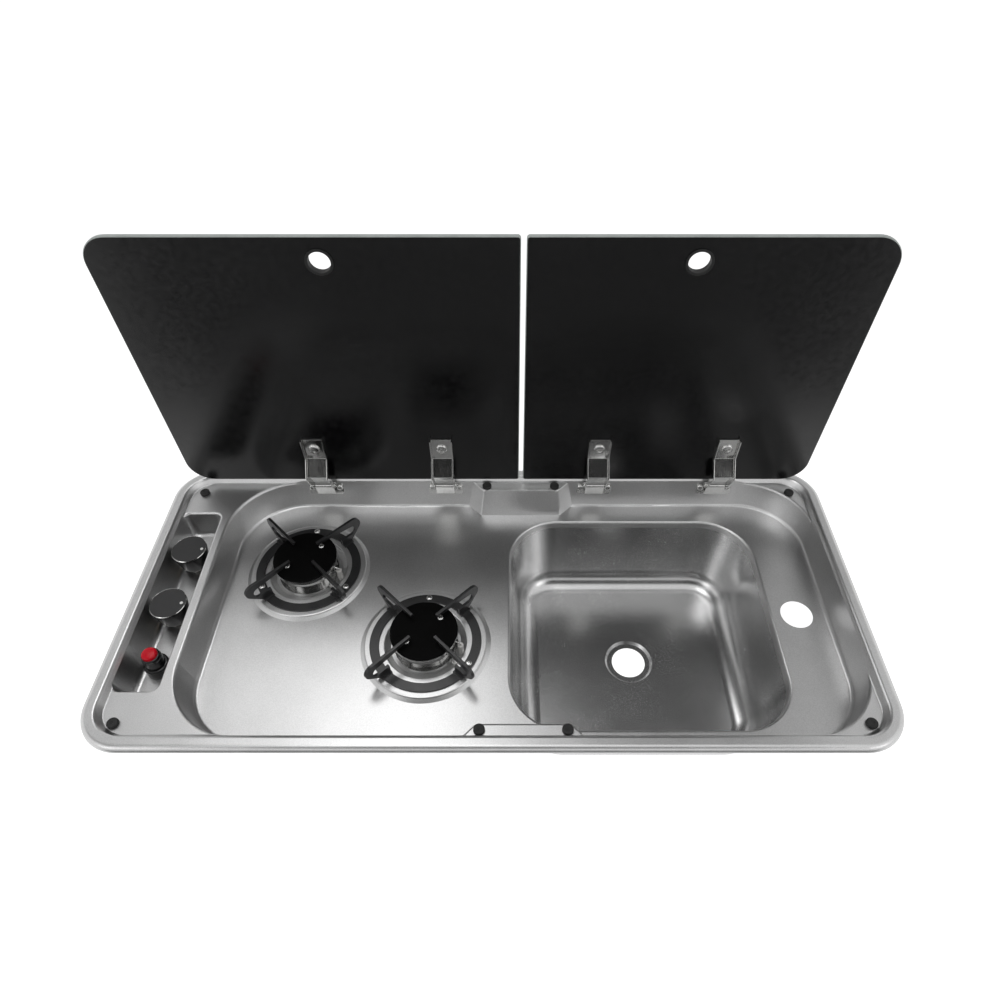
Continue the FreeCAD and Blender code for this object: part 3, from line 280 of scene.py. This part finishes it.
# selects the faces of the open piece that pass a test
def pick(test):
    bpy.ops.mesh.select_mode(type="FACE")
    bpy.ops.mesh.select_all(action="DESELECT")
    shape = bmesh.from_edit_mesh(bpy.context.object.data)
    for face in shape.faces:
        face.select_set(test(face))
    shape.select_flush_mode()
    bmesh.update_edit_mesh(bpy.context.object.data)


# gives a whole piece one finish
def coat(piece, material):
    piece.data.materials.clear()
    piece.data.materials.append(material)


# gives the picked faces of the open piece a finish of their own
def paint(material):
    piece = bpy.context.object
    if material.name not in piece.data.materials:
        piece.data.materials.append(material)
    piece.active_material_index = piece.data.materials.find(material.name)
    bpy.ops.object.material_slot_assign()


def applyModifier(piece, kind, settings):
    only(piece)
    modifier = piece.modifiers.new(kind.lower(), kind)
    for key, value in settings.items():
        setattr(modifier, key, value)
    bpy.ops.object.modifier_apply(modifier=modifier.name)


def smooth(piece, angle=shadeAngle["turned"]):
    only(piece)
    bpy.ops.object.shade_smooth_by_angle(angle=math.radians(angle))


# takes out the slivers that cuts and bevels leave behind
def clean(piece):
    edit(piece)
    bpy.ops.mesh.select_all(action="SELECT")
    bpy.ops.mesh.remove_doubles(threshold=tolerance["sliver"] * mm)
    bpy.ops.mesh.dissolve_degenerate(threshold=tolerance["sliver"] * mm)
    leave()


# breaks the sharp edges of a piece, width in mm
def soften(piece, width):
    applyModifier(piece, "BEVEL", {"width": width * mm, "segments": bevel["segments"],
                                   "limit_method": "ANGLE", "angle_limit": math.radians(bevel["angle"]),
                                   "miter_outer": "MITER_ARC"})
    clean(piece)
    smooth(piece, bevel["angle"])
    applyModifier(piece, "WEIGHTED_NORMAL", {"keep_sharp": True})


# turns a profile of radius and height in mm round the upright line through place
def turned(name, profile, place, steps):
    deselect()
    bpy.ops.mesh.primitive_plane_add(size=mm)
    piece = bpy.context.object
    piece.name = name
    bpy.ops.object.mode_set(mode="EDIT")
    bpy.ops.mesh.select_mode(type="VERT")
    bpy.ops.mesh.select_all(action="SELECT")
    bpy.ops.mesh.merge(type="CENTER")
    r, z = profile[0]
    bpy.ops.transform.translate(value=(place[0] + r * mm, place[1], z * mm))
    for (r0, z0), (r1, z1) in zip(profile, profile[1:]):
        move = ((r1 - r0) * mm, 0, (z1 - z0) * mm)
        bpy.ops.mesh.extrude_region_move(TRANSFORM_OT_translate={"value": move})
    bpy.ops.mesh.select_all(action="SELECT")
    bpy.ops.mesh.spin(steps=steps, angle=math.tau, center=(place[0], place[1], 0), axis=(0, 0, 1))
    bpy.ops.mesh.select_all(action="SELECT")
    bpy.ops.mesh.remove_doubles(threshold=tolerance["weld"] * mm)
    bpy.ops.mesh.normals_make_consistent(inside=False)
    leave()
    return piece


# points of a quarter round from one profile point to the next, bulging to the side of the corner
def rounded(start, corner, end, steps=5):
    points = []
    for i in range(steps + 1):
        t = i / steps
        a, b, c = (1 - t) ** 2, 2 * t * (1 - t), t ** 2
        points.append(tuple(a * start[k] + b * corner[k] + c * end[k] for k in (0, 1)))
    return points


# an own copy of a CAD node, with its loose triangles joined and its flat faces made whole
def mergedCopy(node, name):
    piece = nodes[node].copy()
    piece.data = nodes[node].data.copy()
    piece.parent = None
    piece.matrix_world = Matrix.Identity(4)
    piece.name = name
    bpy.context.collection.objects.link(piece)
    edit(piece)
    bpy.ops.mesh.select_all(action="SELECT")
    bpy.ops.mesh.customdata_custom_splitnormals_clear()
    bpy.ops.mesh.remove_doubles(threshold=tolerance["merge"] * mm)
    bpy.ops.mesh.dissolve_limited(angle_limit=math.radians(tolerance["flat"]))
    leave()
    return piece


def remove(parts):
    deselect()
    for part in parts:
        part.select_set(True)
    bpy.ops.object.delete()


# the separate solids of a CAD node, each as its points
def solidsOf(node):
    scratch = mergedCopy(node, "scratch")
    edit(scratch)
    bpy.ops.mesh.separate(type="LOOSE")
    leave()
    parts = [p for p in bpy.data.objects if p.name.startswith("scratch")]
    solids = [[v.co.copy() for v in part.data.vertices] for part in parts]
    remove(parts)
    return sorted(solids, key=lambda s: (s[0].x, s[0].y))


def copyTo(piece, matrix):
    twin = piece.copy()
    twin.data = piece.data.copy()
    bpy.context.collection.objects.link(twin)
    only(twin)
    twin.matrix_world = matrix
    bpy.ops.object.transform_apply(location=True, rotation=True, scale=True)
    return twin


def joined(parts, name):
    deselect()
    for part in parts:
        part.select_set(True)
    bpy.context.view_layer.objects.active = parts[0]
    if len(parts) > 1:
        bpy.ops.object.join()
    parts[0].name = name
    return parts[0]


# a finished piece stands for a CAD node and moves with its body
def standIn(piece, node):
    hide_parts(node)
    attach(piece, bodyFor[node])


# cross head screws: one is modelled for each size and copied to the places of the CAD screws
# tilt is how far the head leans up from facing the user, grow widens it to the size in the photograph
# side and inner shape the dome, arm to taper the recess, and each next screw is turned further
screw = {"side": 0.34, "inner": 0.35, "arm": 0.62, "armWidth": 0.25, "sink": 0.62, "taper": 0.55,
         "turn": 37.0, "steps": 40, "shade": 40, "rim": 0.95,
         "groups": {"cap_screws": {"tilt": 90.0, "grow": 1.0},
                    "ring_screws": {"tilt": 90.0, "grow": 1.0},
                    "bracket_screws": {"tilt": 11.47, "grow": 1.35},
                    "strap_screws": {"tilt": -1.2, "grow": 1.5}}}


def crossScrew(headR, headH, shankR, shankLen):
    sideH = headH * screw["side"]
    profile = [(0, -shankLen), (shankR, -shankLen), (shankR, 0), (headR, 0), (headR, sideH)]
    profile += rounded((headR, sideH), (headR, headH), (headR * screw["inner"], headH))[1:]
    profile += [(0, headH)]
    head = turned("screw", profile, (0, 0), screw["steps"])
    for turn in (0, 90):
        deselect()
        bpy.ops.mesh.primitive_cube_add(size=1)
        bar = bpy.context.object
        bar.scale = (2 * screw["arm"] * headR * mm, screw["armWidth"] * headR * mm,
                     2 * screw["sink"] * headH * mm)
        bar.location.z = headH * mm
        bar.rotation_euler.z = math.radians(turn)
        bpy.ops.object.transform_apply(location=True, rotation=True, scale=True)
        edit(bar)
        pick(lambda f: f.normal.z < -tolerance["facing"])
        bpy.ops.transform.resize(value=(screw["taper"], screw["taper"], 1))
        leave()
        applyModifier(head, "BOOLEAN", {"operation": "DIFFERENCE", "object": bar, "solver": "EXACT"})
        remove([bar])
    clean(head)
    smooth(head, screw["shade"])
    return head


for node in nodesLike(screw["groups"]):
    kind = next(k for g, k in screw["groups"].items() if node.startswith(g))
    tilt = math.radians(kind["tilt"])
    axis = Vector((0, -math.cos(tilt), math.sin(tilt)))
    lean = axis.to_track_quat("Z", "Y").to_matrix().to_4x4()
    master = None
    heads = []
    for i, points in enumerate(solidsOf(node)):
        along = [p.dot(axis) for p in points]
        low, high = min(along), max(along)
        atTip = [a - low < tolerance["near"] * mm for a in along]
        tip = [p for p, t in zip(points, atTip) if t]
        centre = sum(tip, Vector()) / len(tip)
        centre = centre - axis * centre.dot(axis)
        off = [(p - axis * a - centre).length for p, a in zip(points, along)]
        headR = max(off)
        shankR = max(o for o, t in zip(off, atTip) if t)
        base = min(a for o, a in zip(off, along) if o > screw["rim"] * headR)
        if master is None:
            master = crossScrew(headR * kind["grow"] / mm, (high - base) / mm, shankR / mm, (base - low) / mm)
        spin = Matrix.Rotation(math.radians(screw["turn"] * i), 4, "Z")
        heads.append(copyTo(master, Matrix.Translation(centre + axis * base) @ lean @ spin))
    remove([master])
    group = joined(heads, node + "_cross_head")
    coat(group, brightZinc)
    standIn(group, node)
print("screws ready")

# knobs: polished tapered side, bright turned chamfer, grained face set just below it
knob = {"foot": 15.4, "edge": 19.2, "hollow": 9.5, "hub": 5.5, "band": 4.0, "chamfer": 0.55, "ring": 0.2,
        "fall": 0.1, "sink": 0.14, "footEdge": 0.6, "level": 0.95, "steps": 96, "shade": 28}
for node in ("knob_rear", "knob_front"):
    low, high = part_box(node)
    bottom, top = low[2] / mm, high[2] / mm
    foot, edge, hollow, hub = knob["foot"], knob["edge"], knob["hollow"], bottom + knob["hub"]
    cut = top - knob["chamfer"]
    face = edge - knob["chamfer"]
    ring = face - knob["ring"]
    profile = [(0, hub), (hollow, hub), (hollow, bottom), (foot - knob["footEdge"], bottom),
               (foot, bottom + knob["footEdge"]), (edge, top - knob["band"]), (edge, cut), (face, top),
               (ring, top), (ring - knob["fall"], top - knob["sink"]), (0, top - knob["sink"])]
    piece = turned(node + "_moulding", profile, middleOf(low, high), knob["steps"])
    coat(piece, glossPlastic)
    crown = (cut - tolerance["near"]) * mm
    edit(piece)
    pick(lambda f: f.calc_center_median().z > crown and f.normal.z < knob["level"])
    paint(polishedSteel)
    pick(lambda f: f.calc_center_median().z > crown and f.normal.z >= knob["level"])
    paint(grainPlastic)
    leave()
    smooth(piece, knob["shade"])
    standIn(piece, node)
print("knobs ready")

# igniter: red push button in a collar with a rounded lip, held by a ring nut
igniter = {"collar": 9.6, "collarUp": 4.0, "mouth": 9.1, "lip": 1.1, "step": 0.5, "stepDown": 5.0,
           "well": 7.7, "wellDeep": 26.0, "flange": 12.5, "flangeTop": -34.8, "flangeT": 4.0,
           "edge": 2.6, "edgeSteps": 7, "crown": 0.3, "crownPart": 3,
           "nutR": 12.4, "nutH": 13.5, "nutEdge": 2.4, "steps": 72}


def igniterPiece(name, profile, place, material, node):
    piece = turned(name, profile, place, igniter["steps"])
    coat(piece, material)
    smooth(piece)
    standIn(piece, node)


low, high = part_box("igniter_button")
place = middleOf(low, high)
bottom, top = low[2] / mm, high[2] / mm
buttonR = (high[0] - low[0]) / 2 / mm
brow = top - igniter["crown"]
side = brow - igniter["edge"]
inner = buttonR - igniter["edge"]
profile = [(0, bottom), (buttonR, bottom), (buttonR, side)]
profile += rounded((buttonR, side), (buttonR, brow), (inner, brow), igniter["edgeSteps"])[1:]
profile += rounded((inner, brow), (buttonR / igniter["crownPart"], top), (0, top))[1:]
igniterPiece("igniter_button_cap", profile, place, redPlastic, "igniter_button")

low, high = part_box("igniter_body")
bottom, top = low[2] / mm, high[2] / mm + igniter["collarUp"]
collarR, mouthR, wellR, lip = igniter["collar"], igniter["mouth"], igniter["well"], igniter["lip"]
flangeR, flangeTop = igniter["flange"], igniter["flangeTop"]
flangeLow = flangeTop - igniter["flangeT"]
shoulder = top - igniter["stepDown"]
wellLow = top - igniter["wellDeep"]
profile = [(0, bottom), (collarR, bottom), (collarR, flangeLow), (flangeR, flangeLow),
           (flangeR, flangeTop), (collarR, flangeTop), (collarR, shoulder),
           (mouthR, shoulder + igniter["step"]), (mouthR, top - lip)]
profile += rounded((mouthR, top - lip), (mouthR, top), (wellR, top))[1:]
profile += [(wellR, wellLow), (0, wellLow)]
igniterPiece("igniter_collar", profile, place, glossPlastic, "igniter_body")

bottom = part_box("igniter_nut")[0][2] / mm
top = bottom + igniter["nutH"]
nutR, edge = igniter["nutR"], igniter["nutEdge"]
profile = [(collarR, bottom), (nutR, bottom), (nutR, top - edge)]
profile += rounded((nutR, top - edge), (nutR, top), (nutR - edge, top))[1:]
profile += [(collarR, top), (collarR, bottom)]
igniterPiece("igniter_ring_nut", profile, place, glossPlastic, "igniter_nut")
print("igniter ready")

# lid buffers: moulded buttons with a dimple in the top
buffer = {"radius": 5.5, "edge": 1.5, "dimple": 1.7, "dimpleDeep": 0.5, "dimpleLip": 0.4, "dimpleSlope": 0.2,
          "dimpleSteps": 3, "steps": 40}
pads = []
for points in solidsOf("lid_buffers"):
    low = [min(p[k] for p in points) for k in range(3)]
    high = [max(p[k] for p in points) for k in range(3)]
    bottom, top = low[2] / mm, high[2] / mm
    r, e, d = buffer["radius"], buffer["edge"], buffer["dimple"]
    dip = top - buffer["dimpleDeep"]
    profile = [(0, bottom), (r, bottom), (r, top - e)]
    profile += rounded((r, top - e), (r, top), (r - e, top))[1:]
    profile += rounded((d + buffer["dimpleLip"], top), (d, top), (d - buffer["dimpleSlope"], dip),
                       buffer["dimpleSteps"])
    profile += [(0, dip)]
    pads.append(turned("pad", profile, middleOf(low, high), buffer["steps"]))
buffers = joined(pads, "lid_buffers_moulded")
coat(buffers, mouldedRubber)
smooth(buffers)
standIn(buffers, "lid_buffers")
print("buffers ready")

# pieces with broken edges, width in mm
brokenEdges = {"pan_support": 0.24, "hinge_strap": 0.3, "hinge_bracket": 0.28, "lid_grommet": 0.4,
               "gas_tap": 0.7, "gas_rail": 0.6, "injector": 0.5, "tap_nuts": 0.5, "tap_collar": 0.4,
               "thermocouple": 0.2}
for node in nodesLike(brokenEdges):
    width = next(w for key, w in brokenEdges.items() if node.startswith(key))
    piece = mergedCopy(node, node + "_eased")
    soften(piece, width)
    coat(piece, finishFor(node))
    standIn(piece, node)
print("edges broken")

# lids: black print behind the panes, bare ground edges
for side in ("left", "right"):
    node = "lid_glass_" + side
    pane = mergedCopy(node, node + "_pane")
    coat(pane, blackGlass)
    edit(pane)
    pick(lambda f: abs(f.normal.y) < tolerance["facing"])
    paint(groundGlass)
    leave()
    smooth(pane, shadeAngle["facets"])
    applyModifier(pane, "WEIGHTED_NORMAL", {"keep_sharp": True})
    standIn(pane, node)
print("lids ready")

# burner caps: enamel on top, bare machined rim below the rounded edge
cap = {"rimTop": -10.2, "rimR": 35.0, "steep": 0.3}
for side in ("rear", "front"):
    node = "burner_cap_" + side
    middle = Vector(middleOf(*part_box(node)))
    piece = mergedCopy(node, node + "_rimmed")
    coat(piece, mattEnamel)
    edit(piece)
    pick(lambda f: abs(f.normal.z) < cap["steep"] and f.calc_center_median().z < cap["rimTop"] * mm
         and (f.calc_center_median().xy - middle).length > cap["rimR"] * mm)
    paint(turnedAluminium)
    leave()
    smooth(piece, shadeAngle["facets"])
    standIn(piece, node)
print("burner caps ready")

# electrodes: the wire that stands out of the ceramic is bare steel
electrode = {"wireLen": 4.9}
for side in ("rear", "front"):
    node = "spark_electrode_" + side
    piece = mergedCopy(node, node + "_wired")
    wireFoot = max(v.co.z for v in piece.data.vertices) - electrode["wireLen"] * mm
    coat(piece, glazedCeramic)
    edit(piece)
    pick(lambda f: f.calc_center_median().z > wireFoot)
    paint(brightZinc)
    leave()
    smooth(piece, shadeAngle["facets"])
    standIn(piece, node)
print("electrodes ready")

# the camera stands where the photograph was taken from
camera = {"lens": 25.138, "sensor": 36.0, "place": (0.01836, -0.43785, 0.61756), "turn": 41.506,
          "shiftX": -0.01203, "shiftY": 0.015}
bpy.ops.object.camera_add(location=camera["place"], rotation=(math.radians(camera["turn"]), 0, 0))
eye = bpy.context.object
eye.data.sensor_width = camera["sensor"]
eye.data.lens = camera["lens"]
eye.data.shift_x = camera["shiftX"]
eye.data.shift_y = camera["shiftY"]
bpy.context.scene.camera = eye


# a socket that is 1 for what the camera, gloss and glass see, and 0 for light that only fills
def seenDirectly(tree):
    path = addNode(tree, "LightPath")
    seen = addNode(tree, "Math", {"operation": "ADD"},
                   {0: path.outputs["Is Camera Ray"], 1: path.outputs["Is Glossy Ray"]})
    seen = addNode(tree, "Math", {"operation": "ADD", "use_clamp": True},
                   {0: seen.outputs["Value"], 1: path.outputs["Is Transmission Ray"]})
    return seen.outputs["Value"]


# pale floor at the usual 0.9 m under a worktop
floor = {"size": 30.0, "down": 0.9, "colour": "#f4f4f4", "rough": 0.9, "glow": "#ffffff", "lift": 0.62}
deselect()
bpy.ops.mesh.primitive_plane_add(size=floor["size"], location=(0, 0, -floor["down"]))
ground = bpy.context.object
ground.name = "floor"
paleFloor, floorTree, floorShader = startMaterial(
    "painted floor pale",
    {"Base Color": floor["colour"], "Roughness": floor["rough"], "Emission Color": floor["glow"]})
lift = addNode(floorTree, "Math", {"operation": "MULTIPLY", 1: floor["lift"]}, {0: seenDirectly(floorTree)})
floorTree.links.new(lift.outputs["Value"], floorShader.inputs["Emission Strength"])
coat(ground, paleFloor)

# cards that only reflections see: grey ones overhead and low in front, and two dark flags under the ceiling
cards = {"ceiling_card": {"place": (0, 1.55, 2.1), "size": (4.4, 2.1), "colour": "#d8d8d8"},
         "left_card": {"place": (-1.75, 0.0, 2.05), "size": (1.5, 1.2), "colour": "#a8a8a8"},
         "right_flag": {"place": (0.56, 1.05, 1.95), "size": (0.85, 1.5), "colour": "#202020"},
         "front_flag": {"place": (0.05, -1.85, 1.95), "size": (2.6, 1.7), "colour": "#202020"},
         "low_flag": {"place": (0, -0.9, -0.42), "size": (2.2, 0.84), "colour": "#a8a8a8", "turn": 90}}
for name, card in cards.items():
    deselect()
    turn = math.radians(card.get("turn", 0))
    bpy.ops.mesh.primitive_plane_add(size=1, location=card["place"], rotation=(turn, 0, 0))
    sheet = bpy.context.object
    sheet.name = name
    sheet.scale = (card["size"][0], card["size"][1], 1)
    bpy.ops.object.transform_apply(location=True, rotation=True, scale=True)
    coat(sheet, startMaterial("matt card " + name, {"Base Color": card["colour"], "Roughness": 1.0})[0])
    sheet.visible_camera = False
    sheet.visible_diffuse = False

# white surroundings that the camera and the metal see, and a weaker fill for everything else
studio = {"colour": "#ffffff", "seen": 1.0, "fill": 0.5}
world = bpy.data.worlds.new("studio")
bpy.context.scene.world = world
world.use_nodes = True
sky = world.node_tree
level = addNode(sky, "MapRange", {"To Min": studio["fill"], "To Max": studio["seen"]},
                {"Value": seenDirectly(sky)})
sky.nodes["Background"].inputs["Color"].default_value = hexLinear(studio["colour"])
sky.links.new(level.outputs["Result"], sky.nodes["Background"].inputs["Strength"])

# broad soft lamps, aimed at the worktop
lamps = {"top": {"place": (-0.35, -0.05, 2.0), "size": 0.7, "watts": 3.6},
         "rear": {"place": (-0.38, 0.83, 2.0), "size": 0.62, "watts": 4.4},
         "left": {"place": (-1.08, 0.85, 2.0), "size": 0.45, "watts": 1.4},
         "right": {"place": (1.75, 1.0, 1.9), "size": 0.5, "watts": 0.7},
         "front_left": {"place": (-1.5, -1.3, 1.1), "size": 0.7, "watts": 2.2},
         "front_right": {"place": (1.6, -1.1, 1.1), "size": 0.7, "watts": 2.2}}
for name, lamp in lamps.items():
    bpy.ops.object.light_add(type="AREA", location=lamp["place"])
    light = bpy.context.object
    light.name = name
    light.data.size = lamp["size"]
    light.data.energy = lamp["watts"]
    aim = Vector((0, 0, 0)) - Vector(lamp["place"])
    light.rotation_euler = aim.to_track_quat("-Z", "Y").to_euler()
bpy.context.scene.view_settings.view_transform = "Standard"
print("stage and light ready")
